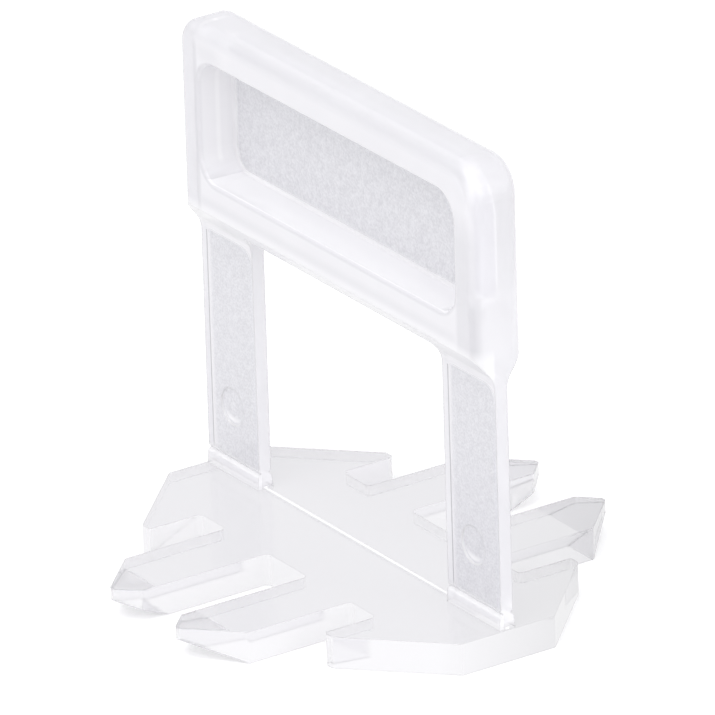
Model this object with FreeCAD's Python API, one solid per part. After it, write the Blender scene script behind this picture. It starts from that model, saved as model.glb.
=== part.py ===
import FreeCAD, Part
import math
import os

from FreeCAD import Vector

# Tile leveling clip, one moulding in natural polypropylene, in millimetres.
# X runs along the line of the two legs, Y across them with -Y the front, Z up.
# The origin is at the centre of the underside, on the surface that the clip stands on.

# Base plate that lies under the tiles, an octagon with its corners cut at 45 degrees
base_width = 36.5
base_depth = 36.0
base_thickness = 2.4
end_wall_length = 7.7
tip_spacing = 8.2
base_corner_round = 0.3

# Slots that let the mortar through and split the plate into fingers and end blocks
central_slot_width = 5.0
finger_width = 5.25
side_slot_width = 3.2
slot_end_from_centre = 5.95
block_tip_width = 0.9
slot_root_round = 0.5
finger_tip_round = 0.4

# Finger tips rise from the surface so that the plate slides under a laid tile
tip_chamfer_length = 3.8
tip_thickness = 0.8

# Window between the legs, which the wedge passes through
window_width = 23.5
window_height = 19.35
window_corner_round = 0.4

# Legs, as thick as the joint that they set
leg_thickness = 1.0
frame_setback = 0.1

# Foot of each leg and the break line above it, where the legs snap off
foot_thickness = 1.3
foot_rim_thickness = 1.15
foot_rim_above_base = 0.95
neck_thickness = 0.6
neck_above_base = 1.22
neck_upper_flank = 0.1

# Header that the wedge bears against
header_height = 14.95
header_depth = 4.0
header_left_corner_round = 1.9
header_right_corner_round = 2.6
header_edge_round = 1.0
rim_tolerance = 0.01

# Shoulders, where the header thins down to the legs
shoulder_above_window = 1.0
shoulder_slope_height = 1.9
shoulder_blend_radius = 1.8

# Pocket in the front of the header, open to -Y, with a thin web behind it
rim_side = 2.45
rim_top = 2.6
rim_bottom = 3.4
web_thickness = 1.0
pocket_corner_round = 2.0
pocket_draft_degrees = 1.5
pocket_floor_bevel = 0.2
pocket_lip_bevel = 0.2

# Round ejector marks on the front of the legs
ejector_mark_diameter = 2.8
ejector_mark_sink = 0.12
ejector_mark_height = 7.7

# Raised line that the mould's joint leaves on the base between the legs
mould_line_width = 0.3
mould_line_height = 0.12

half_width = base_width / 2
half_depth = base_depth / 2
frame_half = half_width - frame_setback
window_half = window_width / 2
window_top = base_thickness + window_height
shoulder_top = window_top + shoulder_above_window
overall_height = window_top + header_height
header_half = header_depth / 2
leg_half = leg_thickness / 2
root_height = base_thickness / 2


def rounded_wire(corners):
    """Closed wire through (point, radius) corners, each rounded by a tangent arc."""
    edges = []
    ends = []
    count = len(corners)
    for index, (corner, radius) in enumerate(corners):
        to_last = (corners[index - 1][0] - corner).normalize()
        to_next = (corners[(index + 1) % count][0] - corner).normalize()
        if radius == 0:
            ends.append((corner, corner))
            continue
        half_angle = to_last.getAngle(to_next) / 2
        run = radius / math.tan(half_angle)
        middle = (to_last + to_next).normalize()
        start = corner + to_last * run
        end = corner + to_next * run
        crown = corner + middle * (radius / math.sin(half_angle) - radius)
        edges.append(Part.Arc(start, crown, end).toShape())
        ends.append((start, end))
    for index in range(count):
        start = ends[index][1]
        end = ends[(index + 1) % count][0]
        if start.distanceToPoint(end) > 1e-6:
            edges.append(Part.LineSegment(start, end).toShape())
    return Part.Wire(Part.__sortEdges__(edges))


def prism(corners, run):
    """Solid swept from the rounded outline along a straight run."""
    return Part.Face(rounded_wire(corners)).extrude(run)


def corner_cut_y(x):
    """How far from the middle the cut corner of the base lies at x."""
    end_half = end_wall_length / 2
    slope = (half_depth - end_half) / (half_width - tip_spacing / 2)
    return end_half + (half_width - x) * slope


def base_quarter():
    """Corners of one quarter of the base, from the end wall to the central slot."""
    tip_x = tip_spacing / 2
    slot_half = central_slot_width / 2
    finger_side = slot_half + finger_width
    block_side = finger_side + side_slot_width
    block_tip = block_side + block_tip_width
    block_reach = corner_cut_y(block_tip)
    mouth_flare = tip_x - slot_half
    return [
        (half_width, end_wall_length / 2, base_corner_round),
        (block_tip, block_reach, base_corner_round),
        (block_side, block_reach, base_corner_round),
        (block_side, slot_end_from_centre, slot_root_round),
        (finger_side, slot_end_from_centre, slot_root_round),
        (finger_side, corner_cut_y(finger_side), base_corner_round),
        (tip_x, half_depth, finger_tip_round),
        (slot_half, half_depth - mouth_flare, base_corner_round),
        (slot_half, slot_end_from_centre, slot_root_round),
    ]


def tip_relief(side):
    """Wedge taken from under the finger tips on the front (-1) or back (+1)."""
    tip_y = side * half_depth
    start_y = side * (half_depth - tip_chamfer_length)
    rise = base_thickness - tip_thickness
    past_tip = tip_y + side
    profile = [
        (Vector(-half_width, start_y, 0), 0),
        (Vector(-half_width, tip_y, rise), 0),
        (Vector(-half_width, past_tip, rise), 0),
        (Vector(-half_width, past_tip, -rise), 0),
        (Vector(-half_width, start_y, -rise), 0),
    ]
    return prism(profile, Vector(base_width, 0, 0))


def base_plate():
    """Octagonal plate with six slots and relieved finger tips."""
    quarter = base_quarter()
    outline = []
    for side_x, side_y in ((1, 1), (-1, 1), (-1, -1), (1, -1)):
        ordered = quarter if side_x == side_y else quarter[::-1]
        outline += [(Vector(side_x * x, side_y * y, 0), radius) for x, y, radius in ordered]
    plate = prism(outline, Vector(0, 0, base_thickness))
    for side in (-1, 1):
        plate = plate.cut(tip_relief(side))
    return plate


def outer_rims(body):
    """Edges of the arch's front and back faces that run up both sides and over the top."""
    rims = []
    for edge in body.Edges:
        box = edge.BoundBox
        flat = box.YLength < rim_tolerance
        beside = min(abs(box.XMin), abs(box.XMax)) > window_half + rim_tolerance
        above = box.ZMin > window_top + rim_tolerance
        if flat and (beside or above):
            rims.append(edge)
    return rims


def frame_front_view():
    """Legs and header as seen from the front: one arch, as deep as the header, with
    its outer rims rounded. The rounds reach the header and shoulders but not the legs."""
    arch = [
        (-frame_half, root_height, 0),
        (-frame_half, overall_height, header_left_corner_round),
        (frame_half, overall_height, header_right_corner_round),
        (frame_half, root_height, 0),
        (window_half, root_height, 0),
        (window_half, window_top, window_corner_round),
        (-window_half, window_top, window_corner_round),
        (-window_half, root_height, 0),
    ]
    corners = [(Vector(x, -header_half, z), radius) for x, z, radius in arch]
    body = prism(corners, Vector(0, header_depth, 0))
    return body.makeFillet(header_edge_round, outer_rims(body))


def frame_side_view():
    """Legs and header as seen from the side: foot, neck, leg, shoulder and header."""
    foot_rim_height = base_thickness + foot_rim_above_base
    neck_height = base_thickness + neck_above_base
    front = [
        (foot_thickness / 2, root_height, 0),
        (foot_thickness / 2, base_thickness, 0),
        (foot_rim_thickness / 2, foot_rim_height, 0),
        (neck_thickness / 2, neck_height, 0),
        (leg_half, neck_height + neck_upper_flank, 0),
        (leg_half, shoulder_top - shoulder_slope_height, shoulder_blend_radius),
        (header_half, shoulder_top, 0),
        (header_half, overall_height, 0),
    ]
    corners = [(Vector(-half_width, y, z), radius) for y, z, radius in front]
    corners += [(Vector(-half_width, -y, z), radius) for y, z, radius in front[::-1]]
    return prism(corners, Vector(base_width, 0, 0))


def pocket_outline(y, inset):
    """Outline of the pocket at the given depth, drawn in on all sides by the inset."""
    side = frame_half - rim_side - inset
    top = overall_height - rim_top - inset
    bottom = window_top + rim_bottom + inset
    radius = pocket_corner_round - inset
    corners = [(side, bottom), (side, top), (-side, top), (-side, bottom)]
    return rounded_wire([(Vector(x, y, z), radius) for x, z in corners])


def header_pocket():
    """Drafted pocket with a bevelled lip and floor, to be taken from the header's front."""
    draft = math.tan(math.radians(pocket_draft_degrees))
    mouth_y = -header_half
    wall_start_y = mouth_y + pocket_lip_bevel
    floor_y = header_half - web_thickness
    wall_end_y = floor_y - pocket_floor_bevel
    wall_inset = (wall_end_y - wall_start_y) * draft
    outlines = [
        pocket_outline(mouth_y, -pocket_lip_bevel),
        pocket_outline(wall_start_y, 0),
        pocket_outline(wall_end_y, wall_inset),
        pocket_outline(floor_y, wall_inset + pocket_floor_bevel),
    ]
    return Part.makeLoft(outlines, True, True)


def ejector_marks():
    """Shallow discs that the ejector pins leave on the front of both legs."""
    centre_x = (window_half + frame_half) / 2
    marks = []
    for x in (-centre_x, centre_x):
        centre = Vector(x, -leg_half + ejector_mark_sink, ejector_mark_height)
        radius = ejector_mark_diameter / 2
        marks.append(Part.makeCylinder(radius, leg_half, centre, Vector(0, -1, 0)))
    return marks


def mould_line():
    """Thin raised line across the top of the base, from leg to leg."""
    corner = Vector(-window_half, -mould_line_width / 2, root_height)
    height = base_thickness + mould_line_height - root_height
    return Part.makeBox(window_width, mould_line_width, height, corner)


def frame():
    """Legs, shoulders and header, shaped by their front and side views."""
    body = frame_front_view().common(frame_side_view())
    body = body.cut(header_pocket())
    for mark in ejector_marks():
        body = body.cut(mark)
    return body


def clip():
    """The whole clip as one solid."""
    body = base_plate().fuse([frame(), mould_line()])
    return body.removeSplitter()


os.makedirs("parts", exist_ok=True)
clip().exportStep("parts/leveling_clip.step")
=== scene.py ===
import math

import bpy
from mathutils import Matrix, Vector

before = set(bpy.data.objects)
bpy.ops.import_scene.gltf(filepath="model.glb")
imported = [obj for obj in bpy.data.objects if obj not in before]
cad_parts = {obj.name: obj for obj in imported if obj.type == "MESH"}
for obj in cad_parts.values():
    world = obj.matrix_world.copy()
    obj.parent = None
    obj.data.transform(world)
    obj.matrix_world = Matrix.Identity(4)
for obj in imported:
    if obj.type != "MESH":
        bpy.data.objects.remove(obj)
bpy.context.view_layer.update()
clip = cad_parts["leveling_clip"]
scene = bpy.context.scene

# Camera: where it stands, what it looks at and how narrow its view is
camera_azimuth = math.radians(56.81)
camera_elevation = math.radians(23.25)
camera_roll = math.radians(-1.76)
camera_distance = 0.9381
camera_target = Vector((0.00020, 0.00019, 0.01645))
camera_lens = 685.4
sensor_width = 36.0

# Places on the moulding that its finish follows are in metres. A span is its low end, its
# high end and how soft both are. A fade is where it starts and where it is full.

# How wide the seams between two finishes are
plane_tolerance = 0.00001
texture_edge = 0.0002

# Base and mould line
# Where the painted shade on the base's top and toward its back right fades in
base_edge_fade_z = (0.00234, 0.00239)
base_aside_fade = (0.012, 0.024)
above_base_fade_z = (0.0026, 0.0030)
# The mould line is painted pale as painted light
mould_line_span_y = (-0.00016, 0.00016, 0.000016)
mould_line_span_z = (0.00241, 0.0026, plane_tolerance)

# Legs and their feet
left_leg_start = -0.01815
right_leg_start = 0.01175
leg_width = 0.0064
leg_front_y = -0.0005
# Painted light on the front of each foot
foot_span_z = (0.00242, 0.0038, 0.0001)
foot_fade_x = (0.0117, 0.01172)
foot_fade_y = (-0.00028, -0.00032)
foot_painted_light = 0.5

# Textured patch on the front of each leg, and the thin line of painted shade to its left
leg_texture_inset = 0.00085
leg_texture_bottom = 0.00375
leg_texture_top = 0.0206
leg_texture_corner = 0.0013
leg_line_span_across = (0.00060, 0.00077, 0.00004)
leg_line_span_z = (leg_texture_bottom, 0.0215, 0.0005)
leg_line_shade_depth = 0.6

# Ejector marks: the mark, the painted light on its wall and the painted glint low in it
mark_floor_y = -0.00038
mark_height = 0.0077
mark_reach = 0.0016
mark_wall_span = (0.00130, 0.00146, 0.00005)
mark_wall_painted_light = 0.85
glint_span = (0.00070, 0.00128, texture_edge)
glint_fade = (-0.0006, -0.0010)
glint_lean = 0.15

# Pocket in the header: its outline, its textured floor and the ledge at its bottom, made pale with painted
# light
pocket_bottom = 0.02515
pocket_top = 0.0341
pocket_half_width = 0.0157
pocket_corner = 0.0020
pocket_floor_y = 0.0010
pocket_floor_span_x = (-0.0154, 0.0154, texture_edge)
pocket_floor_span_z = (0.0254, 0.0338, texture_edge)
ledge_span_x = (-0.0158, 0.0158, 0.0002)
ledge_span_y = (-0.0020, pocket_floor_y, 0.0002)
ledge_span_z = (0.02508, 0.0254, 0.00005)

# Painted highlight: a bright upright line on the pocket's left wall, and a paler painted strip round it
wall_fade_in_x = (-0.0153, -0.0155)
wall_fade_out_x = (-0.01585, -0.01575)
wall_fade_z = (0.0246, 0.0250)
wall_line_span_y = (-0.00075, 0.0, 0.0003)
wall_strip_span_y = (-0.0019, 0.0007, 0.0004)
wall_strip_highlight_share = 0.35

# Painted shade on the left end of the header, and painted light on its shoulders
left_top_fade_x = (-0.006, -0.018)
left_top_fade_z = (0.0355, 0.0363)
left_flank_fade_x = (-0.0158, -0.0168)
above_legs_fade_z = (0.0207, 0.0217)
shoulder_span_z = (0.0205, 0.0234, 0.0008)
shoulder_fade_y = (-0.0004, -0.0006)

# Painted shade: soft dark lines and a darker top left patch on the header's front, with how dark each is
front_fade_y = (-0.0016, -0.0018)
lip_span = (0.0, 0.0004, 0.00015)
lip_fade_z = (0.0345, 0.0335)
lip_depth = 0.8
left_line_span_x = (-0.0162, -0.01555, 0.0002)
left_line_fade_z = (0.0358, 0.0350)
left_line_depth = 0.85
bottom_line_span_z = (0.0231, 0.0242, 0.0005)
bottom_line_fade_x = (0.0165, 0.0150)
bottom_line_depth = 0.5
top_line_span_z = (0.0355, 0.0364, 0.0004)
top_line_depth = 0.45
corner_span_x = (-0.0165, -0.0120, 0.0015)
corner_span_z = (0.0338, 0.0358, 0.0008)
corner_depth = 0.5
right_line_span_x = (0.0157, 0.0185, 0.0004)
right_line_fade_y = (-0.0013, -0.0018)
right_line_fade_z = (0.0335, 0.0310)
right_line_depth = 0.95

# Colour of the plastic, by how thick it is and by its surface, with painted shade and painted light in
# some of the tones
header_tone = (0.890, 0.883, 0.912, 1)
header_cloud_tone = (0.862, 0.854, 0.884, 1)
# Painted shade on the header's left end
header_left_shade_tone = (0.830, 0.822, 0.855, 1)
# Painted shade in the soft dark lines on the header's front
header_painted_shade_tone = (0.760, 0.752, 0.785, 1)
# Painted light on the ledge at the bottom of the pocket
ledge_painted_light_tone = (0.975, 0.968, 0.985, 1)
base_wall_tone = (0.880, 0.872, 0.902, 1)
# Painted shade on the base's top and toward its back right
shaded_base_top_tone = (0.715, 0.706, 0.742, 1)
shaded_base_back_right_tone = (0.660, 0.655, 0.675, 1)
texture_dark_tone = (0.70, 0.697, 0.730, 1)
texture_pale_tone = (0.86, 0.86, 0.89, 1)
# Painted shade at the rounded edges and in the thin line on each leg
painted_edge_shade_tone = (0.30, 0.30, 0.31, 1)
# Painted light: the pale tone of highlights, glints and lit places
painted_light_tone = (0.98, 0.975, 0.99, 1)

# Share of the light that passes the surface, going in and coming out
header_clearness = 0.44
base_clearness = 0.72
texture_haze = 0.12
header_way_out = 1.0
base_way_out = 0.95
edge_way_out = 0.25
milky_clearness = 0.30

# Surface: gloss, softness of the edges and grain of the texture
smooth_roughness = 0.16
textured_roughness = 0.45
refractive_index = 1.49
edge_softness = 0.00020
# Where painted shade falls on the rounded edges, and how much of it the header gets
edge_turn_fade = (0.99, 0.90)
header_edge_shade_share = 0.15
grain_scale = 6500.0
blotch_scale = 1800.0
blotch_share = 0.32
speckle_contrast = (0.36, 0.66)
cloud_scale = 160.0
cloud_contrast = (0.35, 0.65)
grain_depth = 0.00002
grain_strength = 0.6

# Studio
floor_half = 3.0
floor_level = 0.00001
floor_grey = 0.8
floor_glow = 0.3
surround_light = (0.81, 0.81, 0.83, 1)
white = (1, 1, 1, 1)
lamp_size = 0.9
lamp_distance = 1.2


class Nodes:
    """Short calls for building one node tree."""

    def __init__(self, tree):
        self.tree = tree
        tree.nodes.clear()

    def add(self, kind, **settings):
        node = self.tree.nodes.new(kind)
        for name, value in settings.items():
            setattr(node, name, value)
        return node

    def link(self, source, target):
        self.tree.links.new(source, target)

    def feed(self, socket, value):
        if isinstance(value, bpy.types.NodeSocket):
            self.link(value, socket)
        else:
            socket.default_value = value

    def math(self, operation, first, second):
        node = self.add("ShaderNodeMath", operation=operation)
        self.feed(node.inputs[0], first)
        self.feed(node.inputs[1], second)
        return node.outputs[0]

    def both(self, *shares):
        """Product of the shares."""
        product = shares[0]
        for share in shares[1:]:
            product = self.math("MULTIPLY", product, share)
        return product

    def either(self, *shares):
        """Largest of the shares."""
        largest = shares[0]
        for share in shares[1:]:
            largest = self.math("MAXIMUM", largest, share)
        return largest

    def length(self, first, second):
        """Length of the diagonal of the two distances."""
        squares = self.math("ADD", self.math("POWER", first, 2), self.math("POWER", second, 2))
        return self.math("POWER", squares, 0.5)

    def between(self, share, first, second):
        """Number between first and second."""
        node = self.add("ShaderNodeMix", data_type="FLOAT")
        self.feed(node.inputs[0], share)
        self.feed(node.inputs[2], first)
        self.feed(node.inputs[3], second)
        return node.outputs[0]

    def blend(self, share, first, second):
        """Colour between first and second."""
        node = self.add("ShaderNodeMix", data_type="RGBA")
        self.feed(node.inputs[0], share)
        self.feed(node.inputs[6], first)
        self.feed(node.inputs[7], second)
        return node.outputs[2]

    def ramp(self, value, start, end):
        """0 before start and 1 after end, with an even rise between them."""
        node = self.add("ShaderNodeMapRange", clamp=True)
        self.feed(node.inputs["Value"], value)
        self.feed(node.inputs["From Min"], start)
        self.feed(node.inputs["From Max"], end)
        return node.outputs[0]

    def band(self, value, low, high, soft):
        """1 between low and high, with soft ends inside them."""
        return self.both(self.ramp(value, low, low + soft), self.ramp(value, high, high - soft))

    def plane(self, value, level):
        """1 where the value is at the level, and 0 elsewhere."""
        return self.band(value, level - plane_tolerance, level + plane_tolerance, plane_tolerance / 4)

    def noise(self, place, scale):
        node = self.add("ShaderNodeTexNoise")
        self.link(place, node.inputs["Vector"])
        node.inputs["Scale"].default_value = scale
        return node.outputs[0]

    def mix_shaders(self, share, first, second):
        node = self.add("ShaderNodeMixShader")
        self.feed(node.inputs[0], share)
        self.link(first, node.inputs[1])
        self.link(second, node.inputs[2])
        return node.outputs[0]

    def white_glow(self, kind, strength):
        node = self.add(kind)
        node.inputs["Color"].default_value = white
        self.feed(node.inputs["Strength"], strength)
        return node.outputs[0]


def across_leg(nodes, x):
    """Distance from the left side of the leg, the same on both legs."""
    right_leg = nodes.math("GREATER_THAN", x, 0.0)
    return nodes.math("SUBTRACT", x, nodes.between(right_leg, left_leg_start, right_leg_start))


def beyond_corner(nodes, aside, upward):
    """Distance past a corner, from how far a place lies past it to the side and upward."""
    return nodes.length(nodes.math("MAXIMUM", aside, 0.0), nodes.math("MAXIMUM", upward, 0.0))


def leg_faces(nodes, y):
    """1 on the leg's front and on the ejector mark's floor, 0 behind them."""
    return nodes.ramp(y, mark_floor_y + 2 * plane_tolerance, mark_floor_y + plane_tolerance)


def leg_texture(nodes, x, y, z):
    """1 on the textured patch on the front of each leg, with one rounded top corner."""
    across = across_leg(nodes, x)
    past_side = nodes.math("SUBTRACT", across, leg_width - leg_texture_corner)
    past_top = nodes.math("SUBTRACT", z, leg_texture_top - leg_texture_corner)
    from_corner = beyond_corner(nodes, past_side, past_top)
    inside_corner = nodes.ramp(from_corner, leg_texture_corner, leg_texture_corner - texture_edge)
    inside_left = nodes.ramp(across, leg_texture_inset, leg_texture_inset + 2 * texture_edge)
    inside_right = nodes.ramp(across, leg_width - plane_tolerance, leg_width - 3 * plane_tolerance)
    above_foot = nodes.ramp(z, leg_texture_bottom, leg_texture_bottom + texture_edge)
    return nodes.both(leg_faces(nodes, y), inside_corner, inside_left, inside_right, above_foot)


def leg_shade_line(nodes, x, y, z):
    """1 on the thin line of painted shade by the left side of each leg's front."""
    line = nodes.band(across_leg(nodes, x), *leg_line_span_across)
    return nodes.both(line, nodes.plane(y, leg_front_y), nodes.band(z, *leg_line_span_z))


def pocket_texture(nodes, x, y, z):
    """1 on the textured floor of the header's pocket."""
    widths = nodes.band(x, *pocket_floor_span_x)
    return nodes.both(nodes.plane(y, pocket_floor_y), widths, nodes.band(z, *pocket_floor_span_z))


def ejector_places(nodes, x, y, z):
    """1 in and round each ejector mark, and how much painted light lies on its wall and in the glint low
    in it.
    """
    sideways = nodes.math("SUBTRACT", across_leg(nodes, x), leg_width / 2)
    upward = nodes.math("SUBTRACT", z, mark_height)
    from_middle = nodes.length(sideways, upward)
    faces = leg_faces(nodes, y)
    zone = nodes.both(nodes.ramp(from_middle, mark_reach, mark_reach - texture_edge), faces)
    leaning = nodes.math("ADD", upward, nodes.math("MULTIPLY", sideways, glint_lean))
    glint = nodes.both(nodes.band(from_middle, *glint_span), nodes.ramp(leaning, *glint_fade))
    wall = nodes.both(nodes.band(from_middle, *mark_wall_span), mark_wall_painted_light)
    return zone, nodes.both(nodes.either(glint, wall), faces)


def foot_front_painted_light(nodes, x, y, z):
    """Painted light on the front of each foot, up to the break line."""
    outward = nodes.ramp(nodes.math("ABSOLUTE", x, 0.0), *foot_fade_x)
    in_front = nodes.ramp(y, *foot_fade_y)
    return nodes.both(nodes.band(z, *foot_span_z), outward, in_front, foot_painted_light)


def outside_pocket(nodes, x, z):
    """Distance from the pocket's outline on the header's front, above 0 outside it."""
    middle = (pocket_bottom + pocket_top) / 2
    half_height = (pocket_top - pocket_bottom) / 2
    aside = nodes.math("ABSOLUTE", x, 0.0)
    upward = nodes.math("ABSOLUTE", nodes.math("SUBTRACT", z, middle), 0.0)
    past_side = nodes.math("SUBTRACT", aside, pocket_half_width - pocket_corner)
    past_end = nodes.math("SUBTRACT", upward, half_height - pocket_corner)
    return nodes.math("SUBTRACT", beyond_corner(nodes, past_side, past_end), pocket_corner)


def header_left_painted_shade(nodes, x, z):
    """1 on the header's left flank and toward the left end of its top, where painted shade darkens the
    tone.
    """
    left_top = nodes.both(nodes.ramp(x, *left_top_fade_x), nodes.ramp(z, *left_top_fade_z))
    left_flank = nodes.ramp(x, *left_flank_fade_x)
    return nodes.both(nodes.either(left_top, left_flank), nodes.ramp(z, *above_legs_fade_z))


def header_front_painted_shade(nodes, x, y, z):
    """Painted shade: soft dark lines on the header's front, by the pocket's lip and the rounded rims, and
    a darker patch toward its top left corner.
    """
    lip = nodes.band(outside_pocket(nodes, x, z), *lip_span)
    lip = nodes.both(lip, nodes.ramp(z, *lip_fade_z), lip_depth)
    left = nodes.both(nodes.band(x, *left_line_span_x), nodes.ramp(z, *left_line_fade_z))
    left = nodes.both(left, left_line_depth)
    bottom = nodes.both(nodes.band(z, *bottom_line_span_z), nodes.ramp(x, *bottom_line_fade_x))
    bottom = nodes.both(bottom, bottom_line_depth)
    top = nodes.both(nodes.band(z, *top_line_span_z), top_line_depth)
    corner = nodes.both(nodes.band(x, *corner_span_x), nodes.band(z, *corner_span_z), corner_depth)
    return nodes.both(nodes.either(lip, left, bottom, top, corner), nodes.ramp(y, *front_fade_y))


def header_right_painted_shade(nodes, x, y, z):
    """Painted shade: a soft dark line on the header's front rim to the right of the pocket."""
    line = nodes.both(nodes.band(x, *right_line_span_x), nodes.ramp(y, *right_line_fade_y))
    return nodes.both(line, right_line_depth, nodes.ramp(z, *right_line_fade_z))


def pocket_wall_highlight(nodes, x, y, z):
    """Painted highlight: a bright upright line on the pocket's left wall, with a paler strip round it."""
    left_wall = nodes.both(nodes.ramp(x, *wall_fade_in_x), nodes.ramp(x, *wall_fade_out_x))
    strip = nodes.both(nodes.band(y, *wall_strip_span_y), wall_strip_highlight_share)
    line = nodes.either(nodes.band(y, *wall_line_span_y), strip)
    return nodes.both(line, left_wall, nodes.ramp(z, *wall_fade_z))


def header_tones(nodes, place, x, y, z):
    """Tone of the header: clouds, painted shade on the left end and in soft lines, and painted light on
    the shoulders and the pocket's left wall.
    """
    clouds = nodes.ramp(nodes.noise(place, cloud_scale), *cloud_contrast)
    tone = nodes.blend(clouds, header_tone, header_cloud_tone)
    # Painted shade on the header's left end
    tone = nodes.blend(header_left_painted_shade(nodes, x, z), tone, header_left_shade_tone)
    # Painted shade in soft dark lines on the header's front
    lines = nodes.either(header_front_painted_shade(nodes, x, y, z), header_right_painted_shade(nodes, x, y, z))
    tone = nodes.blend(lines, tone, header_painted_shade_tone)
    # Painted light on the header's shoulders above the legs
    shoulders = nodes.both(nodes.band(z, *shoulder_span_z), nodes.ramp(y, *shoulder_fade_y))
    # Painted light: the highlight on the pocket's left wall and on the shoulders
    bright = nodes.either(pocket_wall_highlight(nodes, x, y, z), shoulders)
    return nodes.blend(bright, tone, painted_light_tone)


def shaded_base_tones(nodes, x, y, z):
    """Tone of the base, with painted shade: darker on its top than on its walls, and darker to the back
    right.
    """
    tone = nodes.blend(nodes.ramp(z, *base_edge_fade_z), base_wall_tone, shaded_base_top_tone)
    aside = nodes.ramp(nodes.math("ADD", x, y), *base_aside_fade)
    return nodes.blend(aside, tone, shaded_base_back_right_tone)


def pocket_ledge(nodes, x, y, z):
    """1 on the ledge at the bottom of the pocket, which gets painted light and lets less light through."""
    widths = nodes.band(x, *ledge_span_x)
    return nodes.both(nodes.band(z, *ledge_span_z), nodes.band(y, *ledge_span_y), widths)


def mould_line_share(nodes, y, z):
    """1 on the raised line that the mould's joint leaves on the base, which is painted pale as painted
    light.
    """
    return nodes.both(nodes.band(y, *mould_line_span_y), nodes.band(z, *mould_line_span_z))


def shaded_edge_share(nodes, bent_normal, geometry):
    """1 where the inside of the moulding is seen at one of its rounded edges, where painted shade darkens
    the tone.
    """
    facing = nodes.add("ShaderNodeVectorMath", operation="DOT_PRODUCT")
    nodes.link(bent_normal, facing.inputs[0])
    nodes.link(geometry.outputs["Normal"], facing.inputs[1])
    turned = nodes.math("ABSOLUTE", facing.outputs["Value"], 0.0)
    return nodes.both(nodes.ramp(turned, *edge_turn_fade), geometry.outputs["Backfacing"])


def polypropylene():
    """Natural polypropylene: pale and milky, see-through, spark textured in places, with painted shade and
    painted highlights in places.
    """
    material = bpy.data.materials.new("natural_polypropylene")
    material.use_nodes = True
    nodes = Nodes(material.node_tree)
    place = nodes.add("ShaderNodeTexCoord").outputs["Object"]
    axes = nodes.add("ShaderNodeSeparateXYZ")
    nodes.link(place, axes.inputs[0])
    x, y, z = axes.outputs
    geometry = nodes.add("ShaderNodeNewGeometry")
    inside = geometry.outputs["Backfacing"]
    outside = nodes.math("SUBTRACT", 1.0, inside)
    soft_edges = nodes.add("ShaderNodeBevel", samples=4)
    soft_edges.inputs["Radius"].default_value = edge_softness

    textured = nodes.either(leg_texture(nodes, x, y, z), pocket_texture(nodes, x, y, z))
    above_base = nodes.ramp(z, *above_base_fade_z)
    mark_zone, mark_bright = ejector_places(nodes, x, y, z)
    ledge = pocket_ledge(nodes, x, y, z)
    mould_line = mould_line_share(nodes, y, z)
    # Painted light on the ejector marks' walls and glints, the mould line and the feet's fronts
    bright = nodes.both(nodes.either(mark_bright, mould_line, foot_front_painted_light(nodes, x, y, z)), outside)
    milky = nodes.both(nodes.either(ledge, bright), outside)
    clean = nodes.math("SUBTRACT", 1.0, nodes.either(mark_zone, mould_line))
    edge = shaded_edge_share(nodes, soft_edges.outputs[0], geometry)
    edge = nodes.both(edge, clean, nodes.between(above_base, 1.0, header_edge_shade_share))

    mottle = nodes.between(blotch_share, nodes.noise(place, grain_scale), nodes.noise(place, blotch_scale))
    speckle = nodes.blend(nodes.ramp(mottle, *speckle_contrast), texture_dark_tone, texture_pale_tone)
    # Painted light on the pocket's ledge
    header = nodes.blend(ledge, header_tones(nodes, place, x, y, z), ledge_painted_light_tone)
    # Base tone with painted shade on its top and back right
    tone = nodes.blend(above_base, shaded_base_tones(nodes, x, y, z), header)
    tone = nodes.blend(textured, tone, speckle)
    # Painted shade at the rounded edges
    tone = nodes.blend(edge, tone, painted_edge_shade_tone)
    # Painted light
    tone = nodes.blend(bright, tone, painted_light_tone)
    # Painted shade: the thin dark line by each leg's left side
    tone = nodes.blend(nodes.both(leg_shade_line(nodes, x, y, z), leg_line_shade_depth), tone, painted_edge_shade_tone)

    bump = nodes.add("ShaderNodeBump")
    bump.inputs["Strength"].default_value = grain_strength
    bump.inputs["Distance"].default_value = grain_depth
    nodes.link(nodes.both(mottle, textured), bump.inputs["Height"])
    nodes.link(soft_edges.outputs[0], bump.inputs["Normal"])

    roughness = nodes.between(textured, smooth_roughness, textured_roughness)
    clear = nodes.between(above_base, base_clearness, header_clearness)
    way_in = nodes.math("SUBTRACT", clear, nodes.math("MULTIPLY", textured, texture_haze))
    way_out = nodes.between(above_base, base_way_out, header_way_out)
    through = nodes.between(inside, way_in, way_out)
    through = nodes.between(edge, through, edge_way_out)
    through = nodes.between(milky, through, milky_clearness)

    shader = nodes.add("ShaderNodeBsdfPrincipled")
    shader.inputs["IOR"].default_value = refractive_index
    nodes.link(tone, shader.inputs["Base Color"])
    nodes.link(roughness, shader.inputs["Roughness"])
    nodes.link(through, shader.inputs["Transmission Weight"])
    nodes.link(bump.outputs[0], shader.inputs["Normal"])
    output = nodes.add("ShaderNodeOutputMaterial")
    nodes.link(shader.outputs[0], output.inputs["Surface"])
    return material


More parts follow.
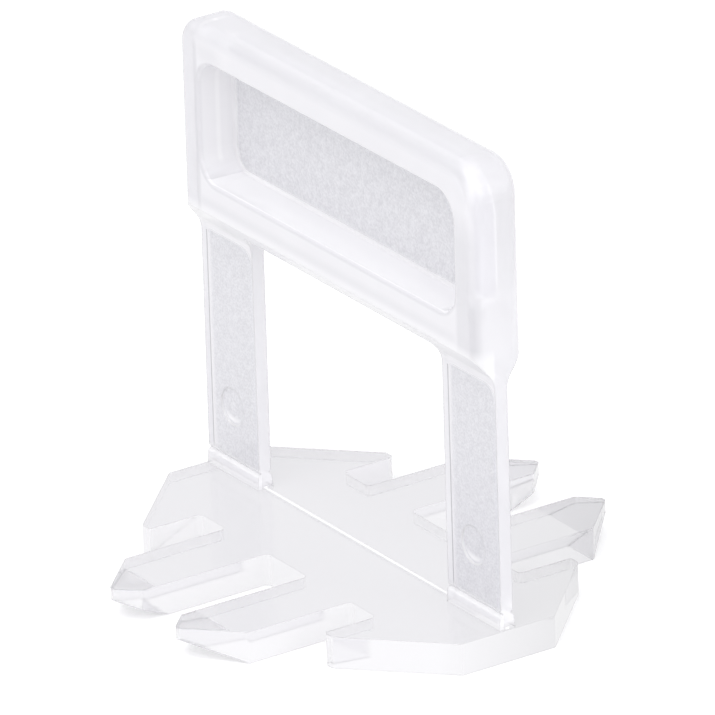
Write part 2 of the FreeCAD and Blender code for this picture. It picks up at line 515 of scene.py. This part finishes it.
def white_floor():
    """Plain floor that keeps the object's shadow and is white in mirrored and refracted light."""
    material = bpy.data.materials.new("studio_floor")
    material.use_nodes = True
    material.cycles.emission_sampling = "NONE"
    nodes = Nodes(material.node_tree)
    path = nodes.add("ShaderNodeLightPath")
    diffuse = nodes.add("ShaderNodeBsdfDiffuse")
    diffuse.inputs["Color"].default_value = (floor_grey, floor_grey, floor_grey, 1)
    lift = nodes.math("MULTIPLY", path.outputs["Is Camera Ray"], floor_glow)
    lit = nodes.add("ShaderNodeAddShader")
    nodes.link(diffuse.outputs[0], lit.inputs[0])
    nodes.link(nodes.white_glow("ShaderNodeEmission", lift), lit.inputs[1])
    seen = nodes.either(path.outputs["Is Glossy Ray"], path.outputs["Is Transmission Ray"])
    shown = nodes.mix_shaders(seen, lit.outputs[0], nodes.white_glow("ShaderNodeEmission", 1.0))
    output = nodes.add("ShaderNodeOutputMaterial")
    nodes.link(shown, output.inputs["Surface"])
    return material


def dress_clip():
    """Gives the moulding its finish."""
    material = polypropylene()
    for slot in clip.material_slots:
        slot.material = material


def make_floor():
    """Floor as wide as any view needs, a hair above the underside so that no faces coincide."""
    mesh = bpy.data.meshes.new("floor")
    sides = ((-1, -1), (1, -1), (1, 1), (-1, 1))
    corners = [(x * floor_half, y * floor_half, floor_level) for x, y in sides]
    mesh.from_pydata(corners, [], [(0, 1, 2, 3)])
    floor = bpy.data.objects.new("floor", mesh)
    floor.data.materials.append(white_floor())
    scene.collection.objects.link(floor)


def make_world():
    """Even light from all round, shown as white to the camera, in mirrors and through plastic."""
    world = bpy.data.worlds.new("studio")
    world.use_nodes = True
    world.cycles.sampling_method = "NONE"
    scene.world = world
    nodes = Nodes(world.node_tree)
    path = nodes.add("ShaderNodeLightPath")
    light = nodes.add("ShaderNodeBackground")
    light.inputs["Color"].default_value = surround_light
    straight = path.outputs["Is Camera Ray"]
    seen = nodes.either(straight, path.outputs["Is Glossy Ray"], path.outputs["Is Transmission Ray"])
    shown = nodes.mix_shaders(seen, light.outputs[0], nodes.white_glow("ShaderNodeBackground", 1.0))
    output = nodes.add("ShaderNodeOutputWorld")
    nodes.link(shown, output.inputs["Surface"])


def direction(azimuth, elevation):
    """Unit vector away from the object. Azimuth 0 is the front and 90 degrees is +X."""
    return Vector((
        math.sin(azimuth) * math.cos(elevation),
        -math.cos(azimuth) * math.cos(elevation),
        math.sin(elevation),
    ))


def make_lamp(name, azimuth, elevation, power):
    """Large soft square lamp that faces the object and isn't seen through the plastic."""
    lamp = bpy.data.lights.new(name, "AREA")
    lamp.shape = "SQUARE"
    lamp.size = lamp_size
    lamp.energy = power
    away = direction(math.radians(azimuth), math.radians(elevation))
    lamp_object = bpy.data.objects.new(name, lamp)
    lamp_object.location = camera_target + away * lamp_distance
    lamp_object.rotation_euler = away.to_track_quat("Z", "Y").to_euler()
    lamp_object.visible_transmission = False
    scene.collection.objects.link(lamp_object)


def make_camera():
    """Camera at the photograph's viewing angle."""
    back = direction(camera_azimuth, camera_elevation)
    level_right = Vector((0, 0, 1)).cross(back).normalized()
    level_up = back.cross(level_right)
    right = level_right * math.cos(camera_roll) + level_up * math.sin(camera_roll)
    up = back.cross(right)
    camera = bpy.data.cameras.new("camera")
    camera.sensor_width = sensor_width
    camera.lens = camera_lens
    camera.clip_start = 0.01
    camera.clip_end = 20.0
    camera_object = bpy.data.objects.new("camera", camera)
    turn = Matrix((right, up, back)).transposed().to_4x4()
    camera_object.matrix_world = Matrix.Translation(camera_target + back * camera_distance) @ turn
    scene.collection.objects.link(camera_object)
    scene.camera = camera_object


def let_light_through():
    """Bounces enough for light that is reflected many times inside the plastic."""
    scene.cycles.max_bounces = 32
    scene.cycles.diffuse_bounces = 8
    scene.cycles.glossy_bounces = 24
    scene.cycles.transmission_bounces = 32


dress_clip()
make_floor()
make_world()
make_lamp("key", azimuth=10, elevation=25, power=1.0)
make_lamp("fill", azimuth=100, elevation=20, power=5.0)
make_lamp("top", azimuth=20, elevation=60, power=5.0)
make_camera()
let_light_through()
scene.view_settings.view_transform = "Standard"
